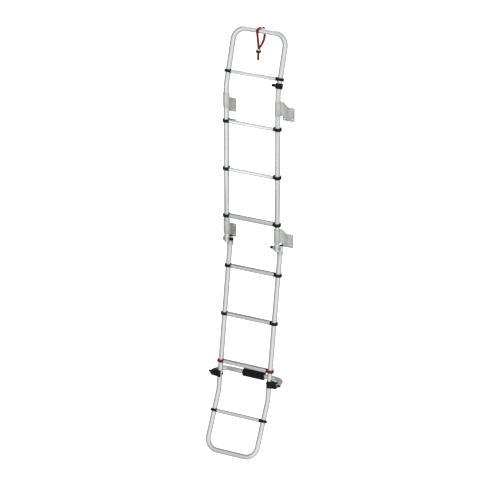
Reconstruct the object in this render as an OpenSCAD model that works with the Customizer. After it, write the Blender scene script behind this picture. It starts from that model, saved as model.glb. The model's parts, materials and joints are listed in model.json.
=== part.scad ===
// Folding exterior ladder for the rear wall of a camper van.
// The upper section is bolted to the wall on four brackets and its top leans towards the roof.
// The lower section hangs on two hinges, leans out from the wall and folds up in front of the upper one.
// Sizes are in millimetres. X runs across the ladder, Y towards the wall and Z up.
// The origin is the centre of the upper left bracket's foot, on the face that lies on the wall.

/* [Rail tube] */
// Outer diameter of the rail tube
tube_d = 30; // [26:1:32]
// Wall thickness of the rail tube
tube_wall = 1.8; // [1.2:0.1:3]
// Distance between the axes of the two rails
rail_spacing = 315; // [290:5:360]
// Radius of the tube's axis in the corners of the top and bottom loops
corner_r = 70; // [60:5:90]
// Radius of the tube's axis where a rail changes its lean
lean_bend_r = 90; // [70:5:110]

/* [Upper section] */
// Length of the leaning top part, from the change of lean to the top bar's axis
top_reach = 321; // [280:1:380]
// Lean of the top part towards the roof, in degrees
top_lean = 20; // [10:1:25]
// Length of upper rail below the hinge pivot
upper_tail = 18; // [16:0.5:20]

/* [Lower section] */
// Distance of the lower rails behind the upper ones at the pivot
rail_offset = 50; // [48:1:60]
// Lean of the lower section away from the wall, in degrees
lower_lean = 10; // [6:1:12]
// Length of the foot part, from the change of lean to the bottom bar's axis
foot_reach = 345; // [300:1:380]
// Further lean of the foot part, in degrees
foot_lean = 20; // [10:1:25]
// Length of lower rail above the pivot's level
lower_head = 4; // [0:0.5:8]

/* [Treads] */
// Distance between two treads along the rails
tread_pitch = 290; // [260:1:300]
// Height of the upper section's lowest tread above the pivot
upper_first = 145; // [132:1:150]
// Distance of the top tread beyond the upper rails' change of lean
top_tread_reach = 75; // [66:1:90]
// Distance of the lower section's highest tread below the pivot
lower_first = 173; // [150:1:190]
// Distance of the foot tread beyond the lower rails' change of lean
foot_tread_reach = 120; // [100:1:140]
// Depth of a tread, front to back
tread_depth = 32; // [28:1:40]
// Height of a tread
tread_height = 22; // [20:1:26]
// Corner radius of a tread
tread_r = 8; // [5:0.5:9]
// Wall thickness of a tread
tread_wall = 2.2; // [1.6:0.1:3]
// Number of grip grooves along the top of a tread
groove_count = 5; // [3:1:7]
// Width of a grip groove
groove_w = 1.4; // [0.8:0.1:1.8]
// Depth of a grip groove
groove_depth = 0.8; // [0.4:0.1:1.2]

/* [Tread caps] */
// Outer diameter of the ring that holds a tread to its rail
cap_ring_d = 45; // [40:1:48]
// Height of that ring
cap_ring_h = 15.5; // [10:0.5:18]
// Distance from the rail's axis to the tread's end
cap_reach = 22; // [20:0.5:26]
// Thickness of the plate that closes the tread's end
cap_plate = 2; // [1.5:0.1:3]
// Length of the tongue inside the tread
cap_tongue = 16; // [10:1:24]

/* [Wall brackets] */
// Distance from the upper rails' axes to the wall
wall_gap = 97; // [90:1:120]
// Wall thickness of the sleeve on the rail
sleeve_wall = 2.8; // [2.4:0.1:6]
// Height of the sleeve on the rail
sleeve_h = 84; // [70:1:90]
// Height of the foot on the wall
foot_h = 83; // [65:1:95]
// Width of the foot on the wall
foot_w = 73; // [66:1:90]
// Thickness of the foot
foot_t = 5; // [4:0.5:8]
// How far the foot's centre lies below the sleeve's centre
foot_drop = 63; // [50:1:70]
// Distance from the rail's axis to the middle of the web
web_out = 22.5; // [22.5:0.5:26]
// Thickness of the web
web_t = 5; // [4:0.5:6]
// Corner radius of the foot
foot_r = 6; // [3:0.5:10]
// Diameter of the screw holes in the foot
screw_d = 6.5; // [5:0.5:8]
// Distance between the screw holes, across and up
screw_spacing = [48, 56];
// Height of the lower brackets' sleeve centres above the pivot
lower_bracket_h = 75; // [75:1:80]
// Distance of the upper brackets' sleeve centres below the change of lean
bracket_below = 93; // [70:1:140]

/* [Hinges] */
// Diameter of the pivot bolt
bolt_d = 8; // [6:0.5:10]
// Thickness of a hinge cheek
cheek_t = 3; // [2.5:0.5:5]
// Radius of the round end of a hinge cheek
cheek_r = 14.5; // [12:0.5:18]
// Length over which a cheek is joined to the sleeve on the lower rail
cheek_low = 27; // [20:1:36]
// Wall thickness of the hinge's sleeve on the lower rail
socket_wall = 3.3; // [2.8:0.1:5]
// Start of the hinge's sleeve below the pivot's level
socket_top = 9; // [8:0.5:14]
// Length of the hinge's sleeve
socket_h = 40; // [38:1:70]
// Diameter of the round locking knobs
knob_d = 17; // [14:1:22]
// Length of a locking knob's grip
knob_grip = 20; // [14:1:24]

/* [Catch for the folded section] */
// Distance of the catch above the change of lean
catch_h = 38; // [36:1:44]
// Outer diameter of the catch ring
catch_d = 42; // [38:1:46]
// Height of the catch ring
catch_ring_h = 31; // [24:1:34]

/* [Spacer bow] */
// Outer diameter of the bow's tube
bow_d = 28; // [20:1:30]
// Wall thickness of the bow's tube
bow_wall = 1.5; // [1:0.1:2.5]
// Distance of the clamps below the third tread, along the rail
clamp_below_tread = 78; // [60:1:90]
// Distance of the lower rails' change of lean below the clamps
bend_below_clamp = 104; // [60:1:130]
// Distance from the lower rails back to the bow's long run
bow_depth = 108; // [90:1:130]
// Distance from a rail's axis out to the bow's end
bow_out = 43; // [40:1:48]
// Radius of the tube's axis in the bow's corners
bow_r = 55; // [45:1:70]
// Length of bow in front of the clamp's middle
bow_front = 17; // [16:1:24]
// Length of the foam pad
pad_len = 135; // [100:5:200]
// Distance of the foam pad to the right of the ladder's middle
pad_side = 12; // [0:1:20]
// Outer diameter of the foam pad
pad_d = 52; // [44:1:60]
// Height of a clamp along the rail
clamp_h = 40; // [38:1:48]
// Outer diameter of a clamp round the rail
clamp_d = 40; // [38:1:46]
// Depth of a clamp's jaw, front to back
jaw_depth = 30; // [26:1:34]
// Thickness of the jaw's two fingers
jaw_wall = 4; // [3:0.5:6]
// How far the fingers reach past the bow's axis
jaw_lip = 7; // [4:0.5:9]
// How far the clamp reaches past the rail's axis on the inner side, where it is open
clamp_lip = 10; // [6:0.5:11]
// Diameter of the bolt through a clamp
clamp_bolt_d = 6; // [5:0.5:8]

/* [Safety strap] */
// Width of the webbing
strap_w = 14; // [12:1:24]
// Thickness of the doubled webbing
strap_t = 4; // [2:0.5:5]
// Height of the stiff loop's inside above the top bar's axis
strap_rise = 29; // [20:1:34]
// Distance from the top bar's axis down to the point of the loop
strap_drop = 108; // [90:1:130]
// Length of the strap's end below the lock
strap_tail = 30; // [20:1:60]
// Distance of the strap to the left of the ladder's middle
strap_side = 0; // [0:1:30]
// How far the loop runs to the right for each millimetre from its front to its back
strap_slant = 0.75; // [0:0.05:1]
// How far the strap hangs to the left for each millimetre down
strap_lean = 0.11; // [0:0.01:0.2]

/* [Fits] */
// Gap between pieces that are assembled on each other
seat_gap = 0.2; // [0.1:0.05:0.3]
// Gap on each side of a turning pin
pin_gap = 0.08; // [0.05:0.01:0.1]
// Gap between faces that turn past each other
turn_gap = 0.3; // [0.2:0.05:0.4]

/* [Hidden] */
$fn = 48;
tube_r = tube_d / 2;
rail_x = rail_spacing / 2;
sleeve_bore = tube_r + seat_gap;
cheek_in = tube_r + turn_gap;
cheek_out = cheek_in + cheek_t;
bolt_r = bolt_d / 2;
head_r = 7;
head_t = 5;
rivet_t = 1.5;
plug_flange = 2.5;
plug_stem = 14;
plug_free = 2;
plug_r = tube_r - tube_wall - seat_gap;
clamp_nut_t = 5;
clamp_nut_r = 5.5;
clamp_washer_t = 1.5;
clamp_washer_r = 9;
clamp_knob_len = 13;
clamp_knob_r = 6.5;
buckle_h = 9;
buckle_wall = 3;
buckle_r = 2;
lock_h = 13;
lock_wall = 4;
lock_side = 2.5;
lock_r = 3;
lock_space = 1;
strap_stem = buckle_h + lock_h + 4 * lock_space;
top_tread_h = upper_first + 3 * tread_pitch;
upper_bend_h = top_tread_h - top_tread_reach;
upper_bracket_h = upper_bend_h - bracket_below;
third_tread_s = lower_first + 2 * tread_pitch;
clamp_s = third_tread_s + clamp_below_tread;
lower_bend_s = clamp_s + bend_below_clamp;
tread_half = rail_x - cap_reach - seat_gap;
catch_stem = 5;
tail_t = strap_t + 1;
hair = 0.02;
origin_shift = [rail_x + web_out, -wall_gap, foot_drop - upper_bracket_h];

TREAD_NODES = [for (i = [1:8]) str("tread_", i)];
CAP_NODES = [for (i = [1:8]) str("tread_caps_", i)];

// The point where a line from p touches a circle of radius r about the origin, on one side
function tangent_point(p, r, side) =
    let (turn = atan2(p.y, p.x) + side * acos(r / norm(p))) r * [cos(turn), sin(turn)];

// Places a piece in the frame whose origin is on the wall
module placed() { translate(origin_shift) children(); }

// A point of the upper section at height h above the pivot, measured along the rails
module at_upper(h) {
    if (h <= upper_bend_h) translate([0, 0, h]) children();
    else translate([0, 0, upper_bend_h]) rotate([-top_lean, 0, 0])
        translate([0, 0, h - upper_bend_h]) children();
}

// A point of the lower section at distance s below the pivot, measured along the rails
module at_lower(s) {
    rotate([-lower_lean, 0, 0]) translate([0, rail_offset, 0])
        if (s <= lower_bend_s) translate([0, 0, -s]) children();
        else translate([0, 0, -lower_bend_s]) rotate([-foot_lean, 0, 0])
            translate([0, 0, lower_bend_s - s]) children();
}

// One copy at the left rail and its mirror image at the right one, both built outwards along +X
module at_both_rails() {
    at_right_rail() children();
    at_left_rail() children();
}
module at_right_rail() { translate([rail_x, 0, 0]) children(); }
module at_left_rail() { translate([-rail_x, 0, 0]) mirror([1, 0, 0]) children(); }

// An outline in the Y-Z plane, drawn as (Y, Z) and extruded along X from x0 to x1
module outline_along_x(x0, x1) {
    translate([x0, 0, 0]) rotate([90, 0, 90]) linear_extrude(x1 - x0) children();
}
// A round bar along X from x0 to x1
module bar_along_x(r, x0, x1) { outline_along_x(x0, x1) circle(r); }

module rounded_rect(w, h, r) {
    square([w - 2 * r, h], center = true);
    square([w, h - 2 * r], center = true);
    for (x = [-1, 1], y = [-1, 1]) translate([x * (w / 2 - r), y * (h / 2 - r)]) circle(r);
}

// Bent tube, drawn as a walk: each step leaves the next one at its far end, heading along +Z.
// A straight run reaches a hair into the bends beside it, whose wall is a hair thinner.
module tube_ring(d, wall) {
    difference() {
        circle(d / 2);
        circle(d / 2 - wall);
    }
}
module run(d, wall, length) {
    translate([0, 0, -hair]) linear_extrude(length + 2 * hair) tube_ring(d, wall);
    translate([0, 0, length]) children();
}
module bend(d, wall, r, angle, turn = 0) {
    rotate([0, 0, turn]) {
        translate([r, 0, 0]) rotate([90, 0, 180]) rotate_extrude(angle = angle) translate([r, 0])
            tube_ring(d - 2 * hair, wall - 2 * hair);
        translate([r * (1 - cos(angle)), 0, r * sin(angle)]) rotate([0, angle, 0]) rotate([0, 0, -turn]) children();
    }
}
// Two rails and the loop that joins them: the left rail starts at the origin and leans towards +Y at the bend
module rail_loop(to_bend, lean, reach) {
    d = tube_d;
    w = tube_wall;
    tangent = lean_bend_r * tan(lean / 2);
    first = to_bend - tangent;
    second = reach - tangent - corner_r;
    across = rail_spacing - 2 * corner_r;
    run(d, w, first) bend(d, w, lean_bend_r, lean, 90) run(d, w, second) bend(d, w, corner_r, 90)
        run(d, w, across) bend(d, w, corner_r, 90) run(d, w, second) bend(d, w, lean_bend_r, lean, 90)
            run(d, w, first);
}

module upper_frame() {
    color("silver") placed() difference() {
        translate([-rail_x, 0, -upper_tail]) rail_loop(upper_bend_h + upper_tail, top_lean, top_reach);
        at_both_rails() bar_along_x(bolt_r + pin_gap, -tube_d, tube_d);
    }
}
module lower_frame() {
    color("silver") placed() difference() {
        at_lower(-lower_head) translate([-rail_x, 0, 0]) rotate([180, 0, 0])
            rail_loop(lower_bend_s + lower_head, foot_lean, foot_reach);
        at_lower(clamp_s) at_both_rails() bar_along_x(clamp_bolt_d / 2 + seat_gap, -tube_d, tube_d);
        at_lower(socket_top + socket_h / 2) at_both_rails() bar_along_x(bolt_r / 2 + seat_gap, -tube_d, tube_d);
    }
}

// Places what belongs to tread i, counted from the top
module at_tread(i) {
    if (i <= 4) at_upper(top_tread_h - (i - 1) * tread_pitch) children();
    else if (i < 8) at_lower(lower_first + (i - 5) * tread_pitch) children();
    else at_lower(lower_bend_s + foot_tread_reach) children();
}
module tread_hollow(gap) {
    inset = tread_wall + gap;
    rounded_rect(tread_depth - 2 * inset, tread_height - 2 * inset, tread_r - tread_wall);
}
module tread(i) {
    groove_pitch = (tread_depth - 2 * tread_r) / (groove_count - 1);
    color("gainsboro") placed() at_tread(i) outline_along_x(-tread_half, tread_half) difference() {
        rounded_rect(tread_depth, tread_height, tread_r);
        tread_hollow(0);
        for (k = [0:groove_count - 1])
            translate([tread_r - tread_depth / 2 + k * groove_pitch, tread_height / 2])
                square([groove_w, 2 * groove_depth], center = true);
    }
}
// Ring round the rail, cut flat on the inside, with the plate and the tongue that close the tread's end
module tread_cap() {
    plate_in = cap_reach - cap_plate;
    difference() {
        union() {
            intersection() {
                cylinder(d = cap_ring_d, h = cap_ring_h, center = true);
                translate([-plate_in, -cap_ring_d, -cap_ring_d]) cube(2 * cap_ring_d);
            }
            outline_along_x(-cap_reach, -plate_in) rounded_rect(tread_depth, tread_height, tread_r);
            outline_along_x(-cap_reach - cap_tongue, -cap_reach) tread_hollow(seat_gap);
        }
        cylinder(r = sleeve_bore, h = 2 * tread_height, center = true);
    }
}
module tread_caps(i) {
    color(i == 7 ? "firebrick" : "dimgray") placed() at_tread(i) at_both_rails() tread_cap();
}

// Sleeve, web and foot of a wall bracket, with the sleeve's centre at the origin
module bracket_plan() {
    web_in = web_out - web_t / 2;
    web_far = web_out + web_t / 2;
    circle(sleeve_bore + sleeve_wall);
    polygon([[0, 0], [web_far, tube_r / 2], [web_far, wall_gap], [web_in, wall_gap], [web_in, tube_r * 1.5],
        [0, tube_r]]);
    translate([web_out - foot_w / 2, wall_gap - foot_t]) square([foot_w, foot_t]);
}
// Side view of a bracket: it slopes down from the sleeve to the foot
module bracket_side() {
    top = sleeve_h / 2;
    foot_top = foot_h / 2 - foot_drop;
    foot_low = -foot_h / 2 - foot_drop;
    front = -sleeve_bore - sleeve_wall;
    foot_y = wall_gap - foot_t;
    polygon([[front, top], [tube_r, top], [foot_y, foot_top], [wall_gap, foot_top], [wall_gap, foot_low],
        [foot_y, foot_low], [tube_r, -top], [front, -top]]);
}
module wall_bracket() {
    reach = foot_w + 2 * web_out;
    difference() {
        intersection() {
            translate([0, 0, -2 * sleeve_h]) linear_extrude(4 * sleeve_h) bracket_plan();
            outline_along_x(-reach, reach) bracket_side();
        }
        cylinder(r = sleeve_bore, h = 2 * sleeve_h, center = true);
        translate([web_out, wall_gap, -foot_drop]) rotate([90, 0, 0]) foot_cuts();
    }
}
// Screw holes and the material outside the foot's round corners
module foot_cuts() {
    for (x = [-1, 1], z = [-1, 1]) translate([x * screw_spacing[0] / 2, z * screw_spacing[1] / 2, -foot_t])
        cylinder(d = screw_d, h = 3 * foot_t);
    translate([0, 0, -foot_t]) linear_extrude(2 * foot_t + 0.01) difference() {
        square([2 * foot_w, foot_h + 1], center = true);
        rounded_rect(foot_w, foot_h + 0.02, foot_r);
    }
}
module wall_bracket_left(h) { color("gray") placed() translate([0, 0, h]) at_left_rail() wall_bracket(); }
module wall_bracket_right(h) { color("gray") placed() translate([0, 0, h]) at_right_rail() wall_bracket(); }

// Bolt along the pivot's axis: its head is outside the outer cheek and its end is inside the knob
module pivot_bolts() {
    head_x = cheek_out + turn_gap;
    color("dimgray") placed() at_both_rails() {
        bar_along_x(bolt_r, -head_x - knob_grip / 2, head_x);
        outline_along_x(head_x, head_x + head_t) circle(head_r, $fn = 6);
    }
}
// Fluted knob along -X, with its inner face at the origin
module fluted_knob(r, grip, bore, flutes = 8) {
    flute_r = r / 6;
    outline_along_x(-grip, 0) difference() {
        circle(r);
        for (k = [0:flutes - 1]) rotate(k * 360 / flutes) translate([r, 0]) circle(flute_r, $fn = 24);
        circle(bore);
    }
}
module knob_end(r, grip) { translate([-grip, 0, 0]) bar_along_x(r * 0.8, -2, 0); }
module hinge_knob() {
    r = knob_d / 2;
    translate([-cheek_out - turn_gap, 0, 0]) {
        fluted_knob(r, knob_grip, bolt_r + pin_gap);
        knob_end(r, knob_grip);
    }
}
module hinge_knob_left() { color("black") placed() at_left_rail() hinge_knob(); }
module hinge_knob_right() { color("black") placed() at_right_rail() hinge_knob(); }

// Two cheeks beside the upper rail and the sleeve that they carry round the lower rail
module cheek_outline() {
    top = [rail_offset, -socket_top];
    low = [rail_offset, -socket_top - cheek_low];
    circle(cheek_r);
    polygon([top, tangent_point(top, cheek_r, 1), [0, 0], tangent_point(low, cheek_r, -1), low]);
}
module hinge_arm() {
    low = -socket_top - socket_h;
    rotate([-lower_lean, 0, 0]) difference() {
        union() {
            outline_along_x(cheek_in, cheek_out) cheek_outline();
            outline_along_x(-cheek_out, -cheek_in) cheek_outline();
            translate([0, rail_offset, low]) cylinder(r = sleeve_bore + socket_wall, h = socket_h);
        }
        translate([0, rail_offset, 2 * low]) cylinder(r = sleeve_bore, h = -3 * low);
        bar_along_x(bolt_r + pin_gap, -tube_d, tube_d);
        translate([0, rail_offset, low + socket_h / 2]) bar_along_x(bolt_r / 2 + seat_gap, -tube_d, tube_d);
    }
}
module hinge_arm_left() { color("lightgray") placed() at_left_rail() hinge_arm(); }
module hinge_arm_right() { color("lightgray") placed() at_right_rail() hinge_arm(); }
// Rivets that hold the hinge's sleeves on the lower rails
module hinge_bolts() {
    face = sleeve_bore + socket_wall + seat_gap;
    color("silver") placed() at_lower(socket_top + socket_h / 2) at_both_rails() {
        bar_along_x(bolt_r / 2, -face, face);
        bar_along_x(bolt_r, face, face + rivet_t);
        bar_along_x(bolt_r, -face - rivet_t, -face);
    }
}

// Plug in a tube's open end: its flange lies outside and its stem runs down into the tube
module plug(d, stem_r) {
    cylinder(d = d, h = plug_flange);
    translate([0, 0, -plug_stem]) cylinder(r = stem_r, h = plug_stem);
}
module lower_rail_plugs() {
    color("black") placed() at_lower(-lower_head - seat_gap) at_both_rails() plug(tube_d, plug_r);
}
module upper_rail_plugs() {
    stem = upper_tail - bolt_r - plug_free;
    color("black") placed() at_upper(-upper_tail - seat_gap) at_both_rails() rotate([180, 0, 0]) {
        cylinder(d = tube_d - 2 * tube_wall, h = plug_flange);
        translate([0, 0, -stem]) cylinder(r = plug_r, h = stem);
    }
}

module catch_ring() {
    color("black") placed() at_upper(upper_bend_h + catch_h) at_right_rail() difference() {
        cylinder(d = catch_d, h = catch_ring_h, center = true);
        cylinder(r = sleeve_bore, h = 2 * catch_ring_h, center = true);
        bar_along_x(bolt_r + pin_gap, -catch_d, 0);
    }
}
module catch_knob() {
    face = catch_d / 2 + turn_gap;
    r = knob_d / 2;
    color("black") placed() at_upper(upper_bend_h + catch_h) at_right_rail() translate([-face, 0, 0]) {
        fluted_knob(r, knob_grip, bolt_r);
        knob_end(r, knob_grip);
        bar_along_x(bolt_r, -knob_grip, catch_stem);
    }
}

module spacer_bow() {
    side = bow_front + bow_depth - bow_r;
    across = 2 * (rail_x + bow_out - bow_r);
    color("silver") placed() at_lower(clamp_s) difference() {
        translate([-rail_x - bow_out, -bow_front, 0]) rotate([-90, 0, 0])
            run(bow_d, bow_wall, side) bend(bow_d, bow_wall, bow_r, 90) run(bow_d, bow_wall, across)
                bend(bow_d, bow_wall, bow_r, 90) run(bow_d, bow_wall, side);
        at_both_rails() bar_along_x(clamp_bolt_d / 2 + seat_gap, 0, rail_x);
    }
}
module bow_plugs() {
    stem_r = bow_d / 2 - bow_wall - seat_gap;
    color("black") placed() at_lower(clamp_s) at_both_rails()
        translate([bow_out, -bow_front - seat_gap, 0]) rotate([90, 0, 0]) {
            cylinder(d = bow_d, h = plug_flange);
            translate([0, 0, -plug_stem / 2]) cylinder(r = stem_r, h = plug_stem / 2);
        }
}
module bow_pad() {
    color("black") placed() at_lower(clamp_s) translate([pad_side, bow_depth, 0])
        outline_along_x(-pad_len / 2, pad_len / 2) tube_ring(pad_d, pad_d / 2 - bow_d / 2 - seat_gap);
}
// Front view of a clamp's jaw: it narrows from the rail to the two fingers that hold the bow's end
module clamp_front() {
    jaw_out = bow_out + jaw_lip;
    finger = bow_d / 2 + seat_gap + jaw_wall;
    tip = finger - jaw_wall / 2;
    polygon([[0, clamp_h / 2], [bow_out, finger], [jaw_out, tip], [jaw_out, -tip], [bow_out, -finger],
        [0, -clamp_h / 2]]);
}
// Saddle round the outer side of the rail, open on the inner one, with the jaw beside it
module bow_clamp() {
    difference() {
        union() {
            intersection() {
                cylinder(d = clamp_d, h = clamp_h, center = true);
                translate([-clamp_lip, -clamp_d, -clamp_h]) cube([2 * clamp_d, 2 * clamp_d, 2 * clamp_h]);
            }
            translate([0, jaw_depth / 2, 0]) rotate([90, 0, 0]) linear_extrude(jaw_depth) clamp_front();
        }
        cylinder(r = sleeve_bore, h = 2 * clamp_h, center = true);
        translate([bow_out, jaw_depth, 0]) rotate([90, 0, 0]) cylinder(r = bow_d / 2 + seat_gap, h = 2 * jaw_depth);
        bar_along_x(clamp_bolt_d / 2 + seat_gap, -clamp_d, 2 * clamp_d);
    }
}
module bow_clamp_left() { color("black") placed() at_lower(clamp_s) at_left_rail() bow_clamp(); }
module bow_clamp_right() { color("black") placed() at_lower(clamp_s) at_right_rail() bow_clamp(); }
// Bolt through the rail, the clamp and the bow's end, with a nut inside the ladder and a cap nut outside
module clamp_bolts() {
    nut_x = -tube_r - seat_gap;
    washer_x = bow_out + bow_d / 2 + seat_gap;
    cap_x = washer_x + clamp_washer_t;
    color("black") placed() at_lower(clamp_s) at_both_rails() {
        bar_along_x(clamp_bolt_d / 2, nut_x - clamp_nut_t, washer_x);
        outline_along_x(nut_x - clamp_nut_t, nut_x) circle(clamp_nut_r, $fn = 6);
        bar_along_x(clamp_washer_r, washer_x, cap_x);
        bar_along_x(clamp_knob_r, cap_x, cap_x + clamp_knob_len);
    }
}

// Outline of a stiff strap that touches a bar of radius r on both sides, stands up to a height above it
// and hangs down to a point
module hanging_loop(r, rise, drop) {
    circle(r);
    intersection() {
        scale([1, rise / r]) circle(r);
        translate([-r, 0]) square([2 * r, rise]);
    }
    polygon([tangent_point([0, -drop], r, 1), [0, -drop], tangent_point([0, -drop], r, -1), [0, 0]]);
}
// The strap's own place: it crosses the bar on a slant and leans a little, but its webbing stays along X
module at_strap() {
    slant = [[1, strap_slant, strap_lean, 0], [0, 1, 0, 0], [0, 0, 1, 0], [0, 0, 0, 1]];
    placed() at_upper(upper_bend_h + top_reach) rotate([top_lean, 0, 0]) translate([-strap_side, 0, 0])
        multmatrix(slant) children();
}
module safety_strap() {
    inner = tube_r + turn_gap;
    outer = inner + strap_t;
    tail = strap_stem + strap_tail;
    color("crimson") at_strap() {
        difference() {
            outline_along_x(-strap_w / 2, strap_w / 2) hanging_loop(outer, strap_rise + strap_t, strap_drop);
            outline_along_x(-strap_w, strap_w) hanging_loop(inner, strap_rise, strap_drop - 5 * strap_t);
        }
        translate([-strap_w / 2, -tail_t / 2, -strap_drop - tail]) cube([strap_w, tail_t, tail + 2 * strap_t]);
    }
}
// A block round the two layers of webbing, drawn as (Y, Z) and lying below the loop's point
module strap_block(drop, h, depth, width, r) {
    translate([0, 0, -drop - h / 2]) difference() {
        outline_along_x(-width / 2, width / 2) rounded_rect(depth, h, r);
        cube([strap_w + 2 * seat_gap, tail_t + 2 * seat_gap, 2 * h], center = true);
    }
}
module strap_buckle() {
    color("silver") at_strap() strap_block(strap_drop + lock_space, buckle_h - lock_space,
        tail_t + 2 * buckle_wall, strap_w + 2 * buckle_wall, buckle_r);
}
module strap_lock() {
    color("black") at_strap() strap_block(strap_drop + buckle_h + lock_space, lock_h,
        tail_t + 2 * lock_wall, strap_w + 2 * lock_side, lock_r);
}

upper_frame();
lower_frame();
for (i = [1:8]) tread(i);
for (i = [1:8]) tread_caps(i);
wall_bracket_left(upper_bracket_h);  // wall_bracket_upper_left
wall_bracket_right(upper_bracket_h);  // wall_bracket_upper_right
wall_bracket_left(lower_bracket_h);  // wall_bracket_lower_left
wall_bracket_right(lower_bracket_h);  // wall_bracket_lower_right
pivot_bolts();
upper_rail_plugs();
hinge_arm_left();
hinge_arm_right();
hinge_bolts();
lower_rail_plugs();
hinge_knob_left();
hinge_knob_right();
catch_ring();
catch_knob();
spacer_bow();
bow_pad();
bow_plugs();
bow_clamp_left();
bow_clamp_right();
clamp_bolts();
safety_strap();
strap_buckle();
strap_lock();
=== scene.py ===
# %% [markdown]
# # A folding ladder for the rear wall of a camper
# The ladder is two frames of bent aluminium tube, joined by hinges, with eight flat treads. Cast brackets
# hold it to the wall, a padded bow keeps the folded section off it, and a red strap hangs in the top loop.
# The exact model gives every piece its size and place. This lesson gives the pieces their finish, and
# makes again, with bmesh operators, those whose edges, bends or cloth deserve more than a plain solid.

# %% Load the exact model
import json
from math import acos, atan, cos, pi, radians, sin, sqrt, tan

import bmesh
import bpy
from mathutils import Matrix, Vector

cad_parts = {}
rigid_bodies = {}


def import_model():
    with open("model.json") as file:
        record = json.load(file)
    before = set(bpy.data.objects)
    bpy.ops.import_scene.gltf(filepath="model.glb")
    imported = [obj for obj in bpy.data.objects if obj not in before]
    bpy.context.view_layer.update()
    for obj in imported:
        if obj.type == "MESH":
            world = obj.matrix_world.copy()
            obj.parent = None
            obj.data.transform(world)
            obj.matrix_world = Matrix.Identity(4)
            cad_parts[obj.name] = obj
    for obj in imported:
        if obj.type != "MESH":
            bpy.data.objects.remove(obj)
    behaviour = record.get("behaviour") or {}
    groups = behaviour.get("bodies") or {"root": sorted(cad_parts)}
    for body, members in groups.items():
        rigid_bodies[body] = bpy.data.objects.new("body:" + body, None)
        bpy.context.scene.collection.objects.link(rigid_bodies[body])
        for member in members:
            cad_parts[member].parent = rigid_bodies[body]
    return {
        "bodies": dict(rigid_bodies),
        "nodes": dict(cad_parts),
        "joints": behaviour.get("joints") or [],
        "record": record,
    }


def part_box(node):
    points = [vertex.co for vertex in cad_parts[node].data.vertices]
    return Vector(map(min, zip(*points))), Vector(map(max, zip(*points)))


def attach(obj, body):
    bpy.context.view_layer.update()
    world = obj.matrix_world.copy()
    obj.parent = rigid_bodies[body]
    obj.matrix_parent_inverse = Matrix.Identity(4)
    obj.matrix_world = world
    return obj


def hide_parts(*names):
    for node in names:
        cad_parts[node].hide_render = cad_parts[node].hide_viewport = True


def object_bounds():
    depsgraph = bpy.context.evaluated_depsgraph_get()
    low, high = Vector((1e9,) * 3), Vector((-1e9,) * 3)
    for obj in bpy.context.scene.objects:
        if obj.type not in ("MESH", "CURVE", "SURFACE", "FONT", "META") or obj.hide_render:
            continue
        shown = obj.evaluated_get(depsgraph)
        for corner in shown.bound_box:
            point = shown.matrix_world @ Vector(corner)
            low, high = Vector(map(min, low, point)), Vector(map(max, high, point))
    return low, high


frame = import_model()
cad_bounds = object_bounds()
parts = frame["nodes"]
fold_joint = next(j for j in frame["joints"] if j["name"] == "section_fold")
print(len(parts), "nodes,", len(frame["bodies"]), "bodies, folding about", fold_joint["pos_m"])

# %% [markdown]
# These few sizes are the exact model's own. They are measured from the hinge pivots, because every length
# along the rails starts there. Two small functions place a piece by its distance along the rails, and they
# know about the lean of each section.

# %% Sizes and places along the rails
MM = 0.001
PIVOT = Vector(fold_joint["pos_m"])
TUBE_D, TUBE_WALL, RAIL_X = 30 * MM, 1.8 * MM, 157.5 * MM
CORNER_R, LEAN_BEND_R = 70 * MM, 90 * MM
UPPER_BEND, TOP_REACH, TOP_LEAN, UPPER_TAIL = 940 * MM, 321 * MM, radians(20), 18 * MM
LOWER_BEND, FOOT_REACH, FOOT_LEAN, LOWER_HEAD = 935 * MM, 345 * MM, radians(20), 4 * MM
RAIL_OFFSET, LOWER_LEAN = 50 * MM, radians(10)
UP = Vector((0, 0, 1))
ACROSS, BACK = Vector((1, 0, 0)), Vector((0, 1, 0))


def moved(x=0.0, y=0.0, z=0.0):
    return Matrix.Translation((x, y, z))


def tipped(angle):
    """Turns about the X axis: a negative angle leans the top towards the wall."""
    return Matrix.Rotation(angle, 4, "X")


def at_upper(height):
    rails = Matrix.Translation(PIVOT)
    if height <= UPPER_BEND:
        return rails @ moved(z=height)
    return rails @ moved(z=UPPER_BEND) @ tipped(-TOP_LEAN) @ moved(z=height - UPPER_BEND)


def at_lower(below):
    rails = Matrix.Translation(PIVOT) @ tipped(-LOWER_LEAN) @ moved(y=RAIL_OFFSET)
    if below <= LOWER_BEND:
        return rails @ moved(z=-below)
    return rails @ moved(z=-LOWER_BEND) @ tipped(-FOOT_LEAN) @ moved(z=LOWER_BEND - below)


top_bar = at_upper(UPPER_BEND + TOP_REACH).translation
bottom_bar = at_lower(LOWER_BEND + FOOT_REACH).translation
print("top bar at", [round(v, 3) for v in top_bar], "bottom bar at", [round(v, 3) for v in bottom_bar])

# %% [markdown]
# The photograph was taken with a long lens from above and to the right. A long lens far away draws
# parallel rails almost parallel, so the distance matters more here than the lens: both were fitted to the
# ladder together.

# %% Camera
VIEW_AZIMUTH, VIEW_ELEVATION = radians(25.61), radians(25.05)
VIEW_DISTANCE, LENS, SENSOR = 12.927, 170.3, 36.0
VIEW_TARGET = PIVOT + Vector((-0.0741, 0.0, 0.0046))
CLIP_FAR = 200

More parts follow.
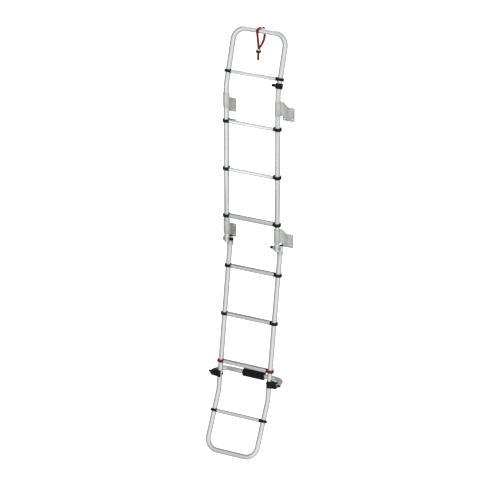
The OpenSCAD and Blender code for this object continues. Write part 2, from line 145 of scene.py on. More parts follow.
towards_camera = Vector((sin(VIEW_AZIMUTH) * cos(VIEW_ELEVATION),
                         -cos(VIEW_AZIMUTH) * cos(VIEW_ELEVATION),
                         sin(VIEW_ELEVATION)))
camera_data = bpy.data.cameras.new("camera")
camera_data.lens, camera_data.sensor_width = LENS, SENSOR
camera_data.clip_end = CLIP_FAR
camera = bpy.data.objects.new("camera", camera_data)
camera.location = VIEW_TARGET + towards_camera * VIEW_DISTANCE
camera.rotation_euler = towards_camera.to_track_quat("Z", "Y").to_euler()
bpy.context.scene.collection.objects.link(camera)
bpy.context.scene.camera = camera
print("camera at", [round(v, 2) for v in camera.location])

# %% [markdown]
# ## Finishes
# A finish is a chain of nodes that ends in the Principled shader. Nearly all of them need the same three
# things: coordinates in metres, a noise that can be stretched along one direction, and a bump. These
# helpers add them, so that each finish below reads as a short recipe.


# %% Helpers for finishes
class Finish:
    """One material: its node tree, its shader and short ways to add the nodes that feed it."""

    def __init__(self, name, colour, metallic, roughness):
        self.material = bpy.data.materials.new(name)
        self.material.use_nodes = True
        self.tree = self.material.node_tree
        self.shader = self.tree.nodes["Principled BSDF"]
        self.shader.inputs["Base Color"].default_value = (*colour, 1)
        self.shader.inputs["Metallic"].default_value = metallic
        self.shader.inputs["Roughness"].default_value = roughness
        self.material.diffuse_color = (*colour, 1)

    def add(self, kind, **settings):
        node = self.tree.nodes.new("ShaderNode" + kind)
        for key, value in settings.items():
            setattr(node, key, value)
        return node

    def join(self, source, target):
        self.tree.links.new(source, target)

    def surface(self, stretch=(1, 1, 1), attribute=None):
        """Coordinates on the piece, in metres, each divided by its stretch."""
        if attribute:
            source = self.add("Attribute", attribute_name=attribute).outputs["Vector"]
        else:
            source = self.add("TexCoord").outputs["Object"]
        mapping = self.add("Mapping")
        mapping.inputs["Scale"].default_value = [1 / s for s in stretch]
        self.join(source, mapping.inputs["Vector"])
        return mapping.outputs["Vector"]

    def noise(self, where, size, detail=3.0, roughness=0.55):
        """Noise whose grains are about size metres across, with values around 0.5."""
        node = self.add("TexNoise")
        node.inputs["Scale"].default_value = 1 / size
        node.inputs["Detail"].default_value = detail
        node.inputs["Roughness"].default_value = roughness
        self.join(where, node.inputs["Vector"])
        return node.outputs["Fac"]

    def ramp(self, value, low, high, to_low=0.0, to_high=1.0):
        """Stretches the range low..high of a value over to_low..to_high."""
        node = self.add("MapRange")
        levels = {"From Min": low, "From Max": high, "To Min": to_low, "To Max": to_high}
        for name, number in levels.items():
            node.inputs[name].default_value = number
        self.join(value, node.inputs["Value"])
        return node.outputs["Result"]

    def blend(self, amount, first, second):
        """A colour between two others; each is an RGB triple or another node's output."""
        node = self.add("Mix", data_type="RGBA")
        for socket, value in ((node.inputs[6], first), (node.inputs[7], second)):
            if isinstance(value, tuple):
                socket.default_value = (*value, 1)
            else:
                self.join(value, socket)
        self.join(amount, node.inputs[0])
        return node.outputs[2]

    def calculate(self, a, b, operation="ADD"):
        """A sum, or another operation, on two values; each is a number or another node's output."""
        node = self.add("Math", operation=operation)
        for socket, value in ((node.inputs[0], a), (node.inputs[1], b)):
            if isinstance(value, (int, float)):
                socket.default_value = value
            else:
                self.join(value, socket)
        return node.outputs[0]

    def bump(self, height, depth, below=None):
        """Bump of a real depth in metres, over another bump where one is given."""
        node = self.add("Bump")
        node.inputs["Strength"].default_value = 1.0
        node.inputs["Distance"].default_value = depth
        self.join(height, node.inputs["Height"])
        if below:
            self.join(below, node.inputs["Normal"])
        return node.outputs["Normal"]

    def feed(self, **sockets):
        """Connects outputs to the shader's sockets, by their names with _ for a space."""
        for name, output in sockets.items():
            self.join(output, self.shader.inputs[name.replace("_", " ")])
        return self.material


print("finish helpers ready")

# %% [markdown]
# **Drawn tube.** Aluminium tube is pulled through a die, which leaves fine lines along it, and then
# anodised, which makes it satin and very slightly uneven. The lines must follow the bends. So the tubes
# below carry an attribute called straight: where each point would lie if the tube had never been bent.
# Noise that is stretched along it gives lines that turn every corner with the metal.

# %% Finish of the rail tubes
STRAIGHT = "straight"
LINE_DEPTH = 0.008 * MM


def drawn_tube_finish():
    f = Finish("drawn_aluminium", (0.75, 0.77, 0.755), 1.0, 0.38)
    line_w, cloud_size, scuff_size = 1.1 * MM, 50 * MM, 12 * MM
    lines = f.noise(f.surface((1, 1, 140), STRAIGHT), line_w, detail=2)
    clouds = f.noise(f.surface((1, 1, 3), STRAIGHT), cloud_size, detail=4)
    scuffs = f.noise(f.surface((1, 1, 0.25), STRAIGHT), scuff_size, detail=5, roughness=0.7)
    shade = f.blend(f.ramp(clouds, 0.35, 0.7), (0.73, 0.755, 0.735), (0.77, 0.795, 0.775))
    marked = f.blend(f.ramp(scuffs, 0.68, 0.80, 0.0, 0.30), shade, (0.60, 0.61, 0.60))
    rough = f.calculate(f.ramp(lines, 0.3, 0.7, 0.34, 0.40), f.ramp(scuffs, 0.55, 0.8, 0.0, 0.10))
    return f.feed(Base_Color=marked, Roughness=rough, Normal=f.bump(lines, LINE_DEPTH))


TUBE = drawn_tube_finish()
print("made", TUBE.name)

# %% [markdown]
# **Extruded treads.** The treads come out of a press along their length, so their lines run across the
# ladder. Shoes polish the crests between the grooves and leave a little dirt, which shows as a duller,
# darker cloud.


# %% Finish of the treads
def tread_finish():
    f = Finish("extruded_aluminium", (0.71, 0.73, 0.72), 1.0, 0.24)
    line_w, cloud_size, speck_size = 1.2 * MM, 30 * MM, 3.5 * MM
    lines = f.noise(f.surface((70, 1, 1)), line_w, detail=2)
    clouds = f.noise(f.surface((2.5, 1, 1)), cloud_size, detail=4)
    specks = f.noise(f.surface(), speck_size, detail=4, roughness=0.7)
    shade = f.blend(f.ramp(clouds, 0.35, 0.7), (0.68, 0.70, 0.69), (0.73, 0.75, 0.74))
    dusty = f.blend(f.ramp(specks, 0.68, 0.82, 0.0, 0.30), shade, (0.56, 0.56, 0.54))
    rough = f.calculate(f.ramp(lines, 0.3, 0.7, 0.21, 0.27), f.ramp(specks, 0.6, 0.8, 0.0, 0.10))
    return f.feed(Base_Color=dusty, Roughness=rough, Normal=f.bump(lines, LINE_DEPTH))


TREAD = tread_finish()
print("made", TREAD.name)

# %% [markdown]
# **Castings.** The wall brackets are cast and then coated grey; the hinge arms are cast and tumbled, and
# stay bright. Both have the faint pebbled skin of a casting, at two sizes, and slightly uneven gloss.


# %% Finishes of the castings
def casting_finish(name, dark, light, metallic, roughness):
    f = Finish(name, light, metallic, roughness)
    pebble_size, wave_size, pebble_depth, wave_depth = 1.6 * MM, 18 * MM, 0.05 * MM, 0.12 * MM
    skin = f.noise(f.surface(), pebble_size, detail=3)
    waves = f.noise(f.surface(), wave_size, detail=3)
    shade = f.blend(f.ramp(waves, 0.35, 0.68), dark, light)
    rough = f.ramp(skin, 0.3, 0.7, roughness - 0.07, roughness + 0.08)
    bumps = f.bump(skin, pebble_depth, f.bump(waves, wave_depth))
    return f.feed(Base_Color=shade, Roughness=rough, Normal=bumps)


BRACKET = casting_finish("grey_coated_casting", (0.56, 0.585, 0.56), (0.65, 0.675, 0.65), 0.5, 0.40)
HINGE = casting_finish("bright_casting", (0.60, 0.62, 0.62), (0.70, 0.72, 0.72), 0.9, 0.40)
print("made", BRACKET.name, "and", HINGE.name)

# %% [markdown]
# **Moulded plastic.** Black nylon is never quite black: it has a fine spark-eroded grain, and rubbed
# places turn grey and smoother. The one pair of red caps marks the tread that carries the spacer bow, in
# the same plastic.


# %% Finishes of the plastics
def plastic_finish(name, deep, rubbed, roughness):
    f = Finish(name, deep, 0.0, roughness)
    f.shader.inputs["Specular IOR Level"].default_value = 0.2
    grain_size, grain_depth, cloud_size = 0.7 * MM, 0.1 * MM, 14 * MM
    grain = f.noise(f.surface(), grain_size, detail=2)
    clouds = f.noise(f.surface(), cloud_size, detail=4)
    shade = f.blend(f.ramp(clouds, 0.45, 0.75, 0.0, 0.8), deep, rubbed)
    rough = f.ramp(clouds, 0.35, 0.7, roughness + 0.07, roughness - 0.08)
    return f.feed(Base_Color=shade, Roughness=rough, Normal=f.bump(grain, grain_depth))


BLACK = plastic_finish("black_nylon", (0.0045, 0.005, 0.005), (0.013, 0.014, 0.014), 0.48)
RED = plastic_finish("red_nylon", (0.20, 0.012, 0.032), (0.26, 0.026, 0.048), 0.42)
print("made", BLACK.name, "and", RED.name)

# %% [markdown]
# **Plated steel** for the pivots and the rivets: a cool grey with blotches from the plating bath. **Foam**
# for the pad: closed cells a millimetre or two across, cut through at the skin, so a cell pattern dents
# it.


# %% Finishes of the steel and the foam
def steel_finish(name, colour, roughness):
    f = Finish(name, colour, 1.0, roughness)
    blotch_size, blotch_depth, dulled = 4 * MM, 0.03 * MM, 0.82
    blotches = f.noise(f.surface(), blotch_size, detail=5, roughness=0.65)
    darker = tuple(c * dulled for c in colour)
    shade = f.blend(f.ramp(blotches, 0.35, 0.65), darker, colour)
    rough = f.ramp(blotches, 0.3, 0.7, roughness + 0.08, roughness - 0.05)
    return f.feed(Base_Color=shade, Roughness=rough, Normal=f.bump(blotches, blotch_depth))


def foam_finish():
    f = Finish("closed_cell_foam", (0.006, 0.0065, 0.006), 0.0, 0.85)
    f.shader.inputs["Specular IOR Level"].default_value = 0.15
    f.shader.inputs["Sheen Weight"].default_value = 0.03
    f.shader.inputs["Sheen Roughness"].default_value = 0.6
    cell_size, lump_size, cell_depth, lump_depth = 1.6 * MM, 20 * MM, 0.3 * MM, 1.2 * MM
    cells = f.add("TexVoronoi", feature="F1")
    cells.inputs["Scale"].default_value = 1 / cell_size
    f.join(f.surface(), cells.inputs["Vector"])
    lumps = f.noise(f.surface(), lump_size, detail=3)
    # Painted shade: the colour follows the same cell distance as the bump, so each dent is painted darker,
    # as shade in the cell hollows.
    skin = f.ramp(cells.outputs["Distance"], 0.1, 0.6)
    shade = f.blend(skin, (0.0035, 0.004, 0.0035), (0.011, 0.012, 0.011))
    bumps = f.bump(cells.outputs["Distance"], cell_depth, f.bump(lumps, lump_depth))
    return f.feed(Base_Color=shade, Normal=bumps)


STEEL = steel_finish("plated_steel", (0.52, 0.53, 0.55), 0.34)
BUCKLE = steel_finish("bright_buckle_steel", (0.80, 0.81, 0.82), 0.26)
FOAM = foam_finish()
print("made", STEEL.name, BUCKLE.name, "and", FOAM.name)

# %% [markdown]
# **Webbing.** Seat-belt webbing is a twill: slanted ribs of yarn in a few lanes, with a firm woven edge.
# The ribs come from a wave on the strap's own coordinates: across in x and along in z, so they follow the
# strap over the bar. Alternate lanes slant the other way, which makes the herringbone.


# %% Finish of the webbing
def webbing_finish():
    f = Finish("red_webbing", (0.25, 0.014, 0.030), 0.0, 0.72)
    f.shader.inputs["Specular IOR Level"].default_value = 0.25
    f.shader.inputs["Sheen Weight"].default_value = 0.06
    f.shader.inputs["Sheen Roughness"].default_value = 0.4
    f.shader.inputs["Sheen Tint"].default_value = (0.9, 0.3, 0.4, 1)
    lane_w, rib_pitch, rib_depth = 4.5 * MM, 1.3 * MM, 0.25 * MM
    fuzz_size, fuzz_depth = 0.9 * MM, 0.2 * MM
    axes = f.add("SeparateXYZ")
    f.join(f.surface(attribute=STRAIGHT), axes.inputs["Vector"])
    zigzag = f.calculate(axes.outputs["X"], lane_w, "PINGPONG")
    slant = f.calculate(axes.outputs["Z"], zigzag)
    ribs = f.calculate(f.calculate(slant, 2 * pi / rib_pitch, "MULTIPLY"), 0.0, "SINE")
    yarn = f.ramp(ribs, -1, 1)
    fuzz = f.noise(f.surface(), fuzz_size, detail=4)
    # Partly painted shade: the colour is darker in the valleys between the ribs, where the bump is low.
    # The fuzz adds a random tone of the yarn.
    shade = f.blend(f.ramp(f.calculate(yarn, fuzz), 0.4, 1.4), (0.120, 0.007, 0.014), (0.38, 0.022, 0.045))
    return f.feed(Base_Color=shade, Normal=f.bump(yarn, rib_depth, f.bump(fuzz, fuzz_depth)))


WEBBING = webbing_finish()
print("made", WEBBING.name)

# %% [markdown]
# ## Pieces
# Every new piece goes through one function. It makes an object at the origin from the mesh, shades it
# smooth with sharp creases kept, gives it a finish, hides the parts of the exact model that it stands for
# and parents it to the body that carries it.


# %% Finishing a piece
CREASE = radians(38)
body_of = {node: body for body, nodes in frame["record"]["behaviour"]["bodies"].items() for node in nodes}


def finish_piece(name, bm, material, *nodes):
    """Makes the object for a bmesh that stands for the given nodes of the exact model."""
    mesh = bpy.data.meshes.new(name)
    bm.to_mesh(mesh)
    bm.free()
    mesh.polygons.foreach_set("use_smooth", [True] * len(mesh.polygons))
    mesh.set_sharp_from_angle(angle=CREASE)
    mesh.materials.append(material)
    piece = bpy.data.objects.new(name, mesh)
    bpy.context.scene.collection.objects.link(piece)
    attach(piece, body_of[nodes[0]])
    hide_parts(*nodes)
    print(name, "has", len(mesh.polygons), "faces")
    return piece


# %% [markdown]
# ### Bent tubes
# A tube bender feeds straight tube past a round former. The code does the same with a ring of vertices: a
# run extrudes the ring and slides it along, and a bend extrudes it in small turns about the former's
# centre. An extruded vertex inherits the straight attribute of the one it came from, so adding the length
# of each step keeps it true. A spin would also turn the ring, but it hides the rings in between, and the
# attribute needs them.

# %% Walking a ring along a tube
BEND_STEP = radians(5)


def ring_edges(verts):
    ring = set(verts)
    return [e for e in {e for v in verts for e in v.link_edges} if set(e.verts) <= ring]


def push(bm, verts, layer, distance):
    """Extrudes a ring or a line of vertices and tells the new ones how far they have come."""
    grown = bmesh.ops.extrude_edge_only(bm, edges=ring_edges(verts))["geom"]
    new = [g for g in grown if isinstance(g, bmesh.types.BMVert)]
    for v in new:
        v[layer] = v[layer] + UP * distance
    return new


def walk(bm, verts, here, steps):
    """Takes the vertices through runs and bends, and returns the last ones."""
    layer = bm.verts.layers.float_vector[STRAIGHT]
    for kind, *sizes in steps:
        if kind == "run":
            (length,) = sizes
            verts = push(bm, verts, layer, length)
            heading = (here.to_3x3() @ UP) * length
            bmesh.ops.translate(bm, verts=verts, vec=heading)
            here = Matrix.Translation(heading) @ here
        else:
            radius, angle, towards = sizes
            centre = here @ (towards * radius)
            axis = here.to_3x3() @ UP.cross(towards)
            count = max(2, round(angle / BEND_STEP))
            turn = Matrix.Rotation(angle / count, 4, axis)
            for _ in range(count):
                verts = push(bm, verts, layer, radius * angle / count)
                bmesh.ops.rotate(bm, verts=verts, cent=centre, matrix=turn.to_3x3())
                here = Matrix.Translation(centre) @ turn @ Matrix.Translation(-centre) @ here
    return verts


def mark_straight(bm, verts, here):
    """Starts the straight attribute on the first vertices of a walk."""
    layer = bm.verts.layers.float_vector.get(STRAIGHT) or bm.verts.layers.float_vector.new(STRAIGHT)
    back = here.inverted()
    for v in verts:
        v[layer] = back @ v.co


TUBE_SIDES = 40


def bent_tube(diameter, wall, start, steps):
    """A hollow tube: skin and bore take the same walk, and a narrow rim joins them at both ends."""
    bm = bmesh.new()
    rims = []
    bm.verts.layers.float_vector.new(STRAIGHT)
    for radius in (diameter / 2, diameter / 2 - wall):
        first = bmesh.ops.create_circle(bm, radius=radius, segments=TUBE_SIDES, matrix=start)["verts"]
        mark_straight(bm, first, start)
        last = walk(bm, first, start, steps)
        rims.append((ring_edges(first), ring_edges(last)))
    for outer, inner in zip(*rims):
        bmesh.ops.bridge_loops(bm, edges=outer + inner)
    bmesh.ops.recalc_face_normals(bm, faces=bm.faces)
    return bm


print("tubes have", TUBE_SIDES, "sides and a ring every", round(BEND_STEP * 180 / pi), "degrees of bend")

# %% [markdown]
# Each frame is one tube: up the left rail, through the change of lean, round the loop and down the right
# rail. The lower frame is the same walk turned over. At a bend, the straight part stops short of the
# corner by the former's radius times the tangent of half the angle.


# %% The two frames
def loop_steps(to_bend, lean, reach):
    tangent = LEAN_BEND_R * tan(lean / 2)
    rail = [("run", to_bend - tangent),
            ("bend", LEAN_BEND_R, lean, BACK),
            ("run", reach - tangent - CORNER_R)]
    corner = ("bend", CORNER_R, pi / 2, ACROSS)
    return rail + [corner, ("run", 2 * (RAIL_X - CORNER_R)), corner] + rail[::-1]


upper_start = at_upper(-UPPER_TAIL) @ moved(x=-RAIL_X)
lower_start = at_lower(-LOWER_HEAD) @ moved(x=-RAIL_X) @ tipped(pi)
upper_steps = loop_steps(UPPER_BEND + UPPER_TAIL, TOP_LEAN, TOP_REACH)
lower_steps = loop_steps(LOWER_BEND + LOWER_HEAD, FOOT_LEAN, FOOT_REACH)
finish_piece("upper_tube", bent_tube(TUBE_D, TUBE_WALL, upper_start, upper_steps), TUBE, "upper_frame")
finish_piece("lower_tube", bent_tube(TUBE_D, TUBE_WALL, lower_start, lower_steps), TUBE, "lower_frame")

# %% [markdown]
# The spacer bow is a thinner tube that starts in the left clamp, runs back towards the wall, crosses
# behind the ladder and comes forward to the right clamp.

# %% The spacer bow
CLAMP_S, BOW_D, BOW_WALL, BOW_R = 831 * MM, 28 * MM, 1.5 * MM, 55 * MM
BOW_OUT, BOW_DEPTH, BOW_FRONT = 43 * MM, 108 * MM, 17 * MM

bow_start = at_lower(CLAMP_S) @ moved(x=-RAIL_X - BOW_OUT, y=-BOW_FRONT) @ tipped(-pi / 2)
bow_side = [("run", BOW_FRONT + BOW_DEPTH - BOW_R), ("bend", BOW_R, pi / 2, ACROSS)]
bow_steps = bow_side + [("run", 2 * (RAIL_X + BOW_OUT - BOW_R))] + bow_side[::-1]
finish_piece("spacer_bow_tube", bent_tube(BOW_D, BOW_WALL, bow_start, bow_steps), TUBE, "spacer_bow")

# %% [markdown]
# ### Foam pad
# The pad is a thick foam sleeve pushed over the bow. Its half section is a rectangle between bore and skin
# with soft corners, spun about the bow's axis. Then three waves of different lengths, given in radians per
# metre, squeeze the skin by up to a millimetre, because foam never keeps a true shape.

# %% The foam pad
PAD_LEN, PAD_D, PAD_SIDE, PAD_CORNER, SEAT_GAP = 135 * MM, 52 * MM, 12 * MM, 4.5 * MM, 0.2 * MM
PAD_SIDES, PAD_RINGS, CORNER_STEPS = 56, 22, 4
SHORT_WAVE, LONG_WAVE, LOBE_WAVE, WAVE_SLANT, LOBE_SLANT = 190, 83, 180, 80, 4
PAD_SWELL, SQUEEZE = 0.25 * MM, 1.6
SAME_POINT = 0.002 * MM


def foam_pad():
    bm = bmesh.new()
    place = at_lower(CLAMP_S) @ moved(x=PAD_SIDE, y=BOW_DEPTH)
    bore, skin = BOW_D / 2 + SEAT_GAP, PAD_D / 2
    middle = (bore + skin) / 2
    size = Matrix.Diagonal((PAD_LEN / 2, (skin - bore) / 2, 1, 1))
    section = bmesh.ops.create_grid(bm, x_segments=1, y_segments=1, size=1, matrix=moved(y=middle) @ size)
    bmesh.ops.delete(bm, geom=bm.faces[:], context="FACES_ONLY")
    corners = [v for v in section["verts"] if v.co.y > middle]
    bmesh.ops.bevel(bm, geom=corners, offset=PAD_CORNER, segments=CORNER_STEPS, profile=0.5,
                    affect="VERTICES", material=-1)
    long_edges = [e for e in bm.edges if abs(e.verts[0].co.x - e.verts[1].co.x) > PAD_LEN / 2]
    bmesh.ops.subdivide_edges(bm, edges=long_edges, cuts=PAD_RINGS)
    bmesh.ops.spin(bm, geom=bm.verts[:] + bm.edges[:], cent=(0, 0, 0), axis=ACROSS, angle=2 * pi,
                   steps=PAD_SIDES, use_merge=True)
    bmesh.ops.remove_doubles(bm, verts=bm.verts, dist=SAME_POINT)
    for v in bm.verts:
        radius = Vector((0, v.co.y, v.co.z))
        if radius.length > middle:
            short = 0.6 * sin(SHORT_WAVE * v.co.x)
            long = sin(LONG_WAVE * v.co.x + WAVE_SLANT * abs(v.co.y))
            lobe = 0.5 * sin(LOBE_WAVE * v.co.x + LOBE_SLANT * v.co.y / radius.length)
            v.co += radius.normalized() * PAD_SWELL * (short + long + lobe - SQUEEZE)
    bmesh.ops.recalc_face_normals(bm, faces=bm.faces)
    bmesh.ops.transform(bm, matrix=place, verts=bm.verts)
    return bm


pad = finish_piece("foam_pad", foam_pad(), FOAM, "bow_pad")

# %% [markdown]
# ### Softened castings and mouldings
# No cast, moulded or machined piece has a truly sharp edge, and it is the rounded edge that catches the
# light. For these pieces the exact model's mesh is copied, its triangles are merged back into whole faces,
# and every edge that folds sharply is bevelled. The width suits how the piece is made: wide on a casting,
# narrow on a bolt.


# %% Softening the edges of an exact piece
FLAT, SHARP, ROUND_STEPS = radians(0.5), radians(32), 2


def softened(node, width):
    bm = bmesh.new()
    bm.from_mesh(parts[node].data)
    bmesh.ops.remove_doubles(bm, verts=bm.verts, dist=SAME_POINT)
    bmesh.ops.dissolve_limit(bm, angle_limit=FLAT, verts=bm.verts, edges=bm.edges, delimit=set())
    folds = [e for e in bm.edges if e.is_manifold and e.calc_face_angle() > SHARP]
    bmesh.ops.bevel(bm, geom=folds, offset=width, offset_type="OFFSET", segments=ROUND_STEPS, profile=0.5,
                    affect="EDGES", clamp_overlap=True, material=-1)
    return bm


TREADS, BOW_TREAD = range(1, 9), 7
brackets = [n for n in parts if n.startswith("wall_bracket")]
black_caps = [f"tread_caps_{i}" for i in TREADS if i != BOW_TREAD]
softened_pieces = [
    (0.9 * MM, BRACKET, brackets),
    (0.7 * MM, HINGE, ["hinge_arm_left", "hinge_arm_right"]),
    (0.6 * MM, BLACK, black_caps),
    (0.6 * MM, RED, [f"tread_caps_{BOW_TREAD}"]),
    (1.2 * MM, BLACK, ["bow_clamp_left", "bow_clamp_right", "catch_ring"]),
    (2.4 * MM, BLACK, ["strap_lock"]),
    (0.8 * MM, BLACK, ["hinge_knob_left", "hinge_knob_right", "catch_knob", "clamp_bolts",
                       "upper_rail_plugs", "lower_rail_plugs", "bow_plugs"]),
    (0.4 * MM, STEEL, ["pivot_bolts", "hinge_bolts"]),
    (0.5 * MM, BUCKLE, ["strap_buckle"]),
]
for width, material, nodes in softened_pieces:
    for node in nodes:
        finish_piece(node + "_soft", softened(node, width), material, node)

# %% [markdown]
# The treads keep the exact model's mesh, whose profile already has its grooves. They only need their
# finish.

# %% Treads
for number in TREADS:
    tread = parts[f"tread_{number}"]
    tread.data.materials.clear()
    tread.data.materials.append(TREAD)
print("finished", len(TREADS), "treads")

# %% [markdown]
# ### Safety strap
# The strap is tubular webbing, pressed flat, so its section is an ellipse. It goes up the front of the top
# bar, makes a stiff arch over it and comes down behind, where it bulges before it turns in to the buckle.
# The ellipse takes the same kind of walk as the tubes did. Only then is the whole loop slanted: every
# point moves sideways by a share of its depth and of its height. A bar along x looks the same after such a
# slant, so the loop still fits it. Below the lock the tail turns by the same lean, the other way, and so
# it hangs straight down. The arch is lower and the tail longer than on the exact model's stiffer strap,
# because that is how the webbing hangs in the photograph.

# %% The safety strap
STRAP_W, LOOP_T, TAIL_T, JOIN_OVERLAP = 14 * MM, 6 * MM, 5 * MM, 4 * MM
STRAP_DROP, STRAP_RISE, STRAP_STEM, STRAP_TAIL = 108 * MM, 18 * MM, 26 * MM, 42 * MM
STRAP_SLANT, STRAP_LEAN = 0.75, 0.11
BULGE_OUT, BULGE_IN = radians(12), radians(32)
BULGE_START_R, BULGE_END_R, TAIL_R = 60 * MM, 14 * MM, 40 * MM
TURN_GAP, STRAP_SIDES, STRAND_RINGS = 0.3 * MM, 20, 8


def webbing_tube(bm, thickness, start, steps):
    """Sends an ellipse of webbing along a walk and closes both of its ends."""
    section = start @ Matrix.Diagonal((STRAP_W / 2, thickness / 2, 1, 1))
    first = bmesh.ops.create_circle(bm, radius=1, segments=STRAP_SIDES, matrix=section)["verts"]
    mark_straight(bm, first, start)
    last = walk(bm, first, start, steps)
    for end in (first, last):
        bmesh.ops.contextual_create(bm, geom=ring_edges(end), mat_nr=0, use_smooth=False)


def strap():
    turn_r = TUBE_D / 2 + TURN_GAP + LOOP_T / 2
    half_angle = pi / 2 - acos(turn_r / STRAP_DROP)
    strand = sqrt(STRAP_DROP ** 2 - turn_r ** 2)
    slack = STRAP_RISE + LOOP_T / 2 - turn_r
    bulge_drop = STRAP_DROP - BULGE_START_R * sin(BULGE_OUT) - BULGE_END_R * sin(BULGE_IN)
    bulge_r = bulge_drop / (sin(BULGE_OUT) + sin(BULGE_IN))
    front = [("run", strand / STRAND_RINGS)] * STRAND_RINGS + [("bend", turn_r, half_angle, BACK)]
    over = [("run", slack), ("bend", turn_r, pi, BACK), ("run", slack)]
    behind = [("bend", BULGE_START_R, BULGE_OUT, -BACK),
              ("bend", bulge_r, BULGE_OUT + BULGE_IN, BACK),
              ("bend", BULGE_END_R, BULGE_IN, -BACK)]
    loop = front + over + behind
    tail = [("run", STRAP_STEM + JOIN_OVERLAP),
            ("bend", TAIL_R, atan(STRAP_LEAN), ACROSS),
            ("run", STRAP_TAIL - TAIL_R * STRAP_LEAN)]
    bm = bmesh.new()
    bm.verts.layers.float_vector.new(STRAIGHT)
    webbing_tube(bm, LOOP_T, moved(z=-STRAP_DROP) @ tipped(half_angle), loop)
    webbing_tube(bm, TAIL_T, moved(z=JOIN_OVERLAP - STRAP_DROP) @ tipped(pi), tail)
    bmesh.ops.recalc_face_normals(bm, faces=bm.faces)
    slant = Matrix.Identity(4)
    slant[0][1], slant[0][2] = STRAP_SLANT, STRAP_LEAN
    bmesh.ops.transform(bm, matrix=Matrix.Translation(top_bar) @ slant, verts=bm.verts)
    return bm


finish_piece("webbing_loop", strap(), WEBBING, "safety_strap")

# %% [markdown]
# ## Studio
# The ladder was photographed on plain white, with no shadow. Metal shows its surroundings, so the
# surroundings are where its shading comes from: a sky that is light on the side of the camera and darker
# behind and below, which draws a thin dark line along the edges of each tube. Only the pieces see that
# sky. The camera sees plain white, and the Standard view keeps it fully white.


# %% Sky
SKY_FACING = (0.60, -0.76, 0.25)
SKY_DARK, SKY_LIGHT, DARK_UP_TO, LIGHT_FROM = 0.38, 1.02, -0.1, 0.9


def studio_sky():
    world = bpy.data.worlds.new("studio")
    bpy.context.scene.world = world
    world.use_nodes = True
    tree = world.node_tree
    tree.nodes.clear()
    add, join = tree.nodes.new, tree.links.new
    direction = add("ShaderNodeTexCoord").outputs["Generated"]
    facing = add("ShaderNodeVectorMath")
    facing.operation = "DOT_PRODUCT"
    facing.inputs[1].default_value = SKY_FACING
    join(direction, facing.inputs[0])
    shade = add("ShaderNodeMapRange")
    shade.interpolation_type = "SMOOTHSTEP"
    levels = {"From Min": DARK_UP_TO, "From Max": LIGHT_FROM, "To Min": SKY_DARK, "To Max": SKY_LIGHT}
    for name, value in levels.items():
        shade.inputs[name].default_value = value
    join(facing.outputs["Value"], shade.inputs["Value"])
    seen, lit, mix = add("ShaderNodeBackground"), add("ShaderNodeBackground"), add("ShaderNodeMixShader")
    for background in (seen, lit):
        background.inputs["Color"].default_value = (1, 1, 1, 1)
    join(shade.outputs["Result"], lit.inputs["Strength"])
    path, out = add("ShaderNodeLightPath"), add("ShaderNodeOutputWorld")
    join(path.outputs["Is Camera Ray"], mix.inputs[0])
    join(lit.outputs[0], mix.inputs[1])
    join(seen.outputs[0], mix.inputs[2])
    join(mix.outputs[0], out.inputs["Surface"])


studio_sky()
scene = bpy.context.scene
scene.view_settings.view_transform = "Standard"
print("sky ready, colours shown as", scene.view_settings.view_transform)

# %% [markdown]
# The ladder hangs on a wall and ends above the ground, so the floor lies a step below it. It is a plain
# white sheet that shines as brightly as the background, and only the camera sees it: it throws no light up
# into the metal.


# %% Floor
FLOOR_BELOW, FLOOR_R, FLOOR_SIDES = 0.25, 12.0, 96


def white_floor(height):
    bm = bmesh.new()
    place = moved(z=height)
    bmesh.ops.create_circle(bm, cap_ends=True, radius=FLOOR_R, segments=FLOOR_SIDES, matrix=place)
    mesh = bpy.data.meshes.new("floor")
    bm.to_mesh(mesh)
    bm.free()
    floor = bpy.data.objects.new("floor", mesh)
    finish = Finish("white_sheet", (1, 1, 1), 0.0, 1.0)
    finish.shader.inputs["Emission Color"].default_value = (1, 1, 1, 1)
    finish.shader.inputs["Emission Strength"].default_value = 1.0
    mesh.materials.append(finish.material)
    floor.visible_diffuse = floor.visible_glossy = floor.visible_shadow = False
    scene.collection.objects.link(floor)


white_floor(cad_bounds[0][2] - FLOOR_BELOW)
print("floor", FLOOR_BELOW, "m below the ladder")

# %% [markdown]
# Soft lamps add what the sky doesn't give, like the white cards of a product studio. A card shows in flat
# metal where the metal mirrors it towards the camera, so the cards stand on mirrored lines of sight: a
# tread's top turns a line of sight up, its front turns it back, and a bracket's web turns it sideways. The
# back card faces the tops of the upper treads, and stops above the fourth: that is why the treads turn
# from white to grey on the way down. The front card faces their fronts. A narrow spread keeps both off the
# rails. Two small cards light the webs of the right brackets, a top card lights the top bar, and the key
# lamp is a large soft one in front on the left. Power is worked out from radiance and size, so that a card
# can change its size and keep its brightness.


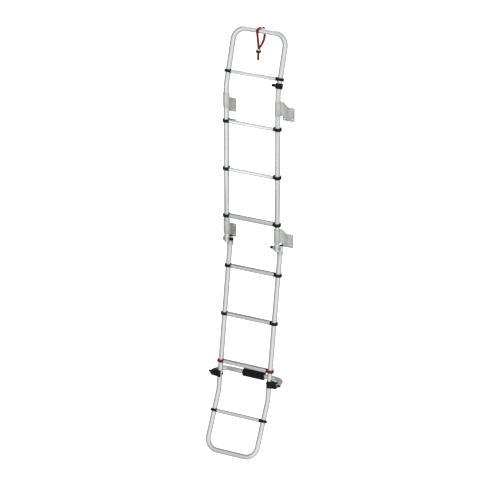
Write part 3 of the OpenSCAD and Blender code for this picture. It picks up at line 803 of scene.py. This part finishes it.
# %% Lamps
def soft_lamp(name, place, aim, radiance, size, shape="RECTANGLE", roll=0.0, spread=pi):
    width, height = size
    data = bpy.data.lights.new(name, "AREA")
    data.shape, data.size, data.size_y = shape, width, height
    data.spread = spread
    data.energy = radiance * pi * width * height
    lamp = bpy.data.objects.new(name, data)
    lamp.location = place
    facing = (Vector(place) - Vector(aim)).to_track_quat("Z", "Y").to_matrix().to_4x4()
    lamp.rotation_euler = (facing @ Matrix.Rotation(roll, 4, "Z")).to_euler()
    lamp.visible_camera = False
    scene.collection.objects.link(lamp)


sight = -towards_camera
OFF_TOPS = Vector((sight.x, sight.y, -sight.z))
OFF_FRONTS = Vector((sight.x, -sight.y, sight.z))
OFF_WEBS = Vector((-sight.x, sight.y, sight.z))
NARROW = radians(90)
KEY_LAMP, KEY_SIZE, KEY_RADIANCE = Vector((-3.0, -4.5, 3.5)), (2.2, 2.2), 0.3
BACK_CARD, BACK_SIZE, BACK_RADIANCE = PIVOT + Vector((-0.21, 0.5, 1.03)), (0.46, 0.78), 0.5
FRONT_CARD, FRONT_SIZE, FRONT_RADIANCE = PIVOT + Vector((-0.24, -0.5, 0.74)), (0.28, 1.15), 0.19
TOP_CARD, TOP_SIZE, TOP_RADIANCE = top_bar + Vector((-0.24, 0.25, 0.5)), (0.6, 0.4), 1.3
BACK_ROLL = radians(18)
WEB_CARD_AWAY, WEB_SIZE, WEB_RADIANCE = 0.3, (0.16, 0.2), 1.3

soft_lamp("key_lamp", KEY_LAMP, PIVOT, KEY_RADIANCE, KEY_SIZE, shape="ELLIPSE")
soft_lamp("back_card", BACK_CARD, BACK_CARD - OFF_TOPS, BACK_RADIANCE, BACK_SIZE,
          roll=BACK_ROLL, spread=NARROW)
for node in ("wall_bracket_upper_right", "wall_bracket_lower_right"):
    low, high = (Vector(corner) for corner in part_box(node))
    web = (low + high) / 2
    soft_lamp("web_card", web + OFF_WEBS * WEB_CARD_AWAY, web, WEB_RADIANCE, WEB_SIZE)
soft_lamp("front_card", FRONT_CARD, FRONT_CARD - OFF_FRONTS, FRONT_RADIANCE, FRONT_SIZE, spread=NARROW)
soft_lamp("top_card", TOP_CARD, top_bar, TOP_RADIANCE, TOP_SIZE)
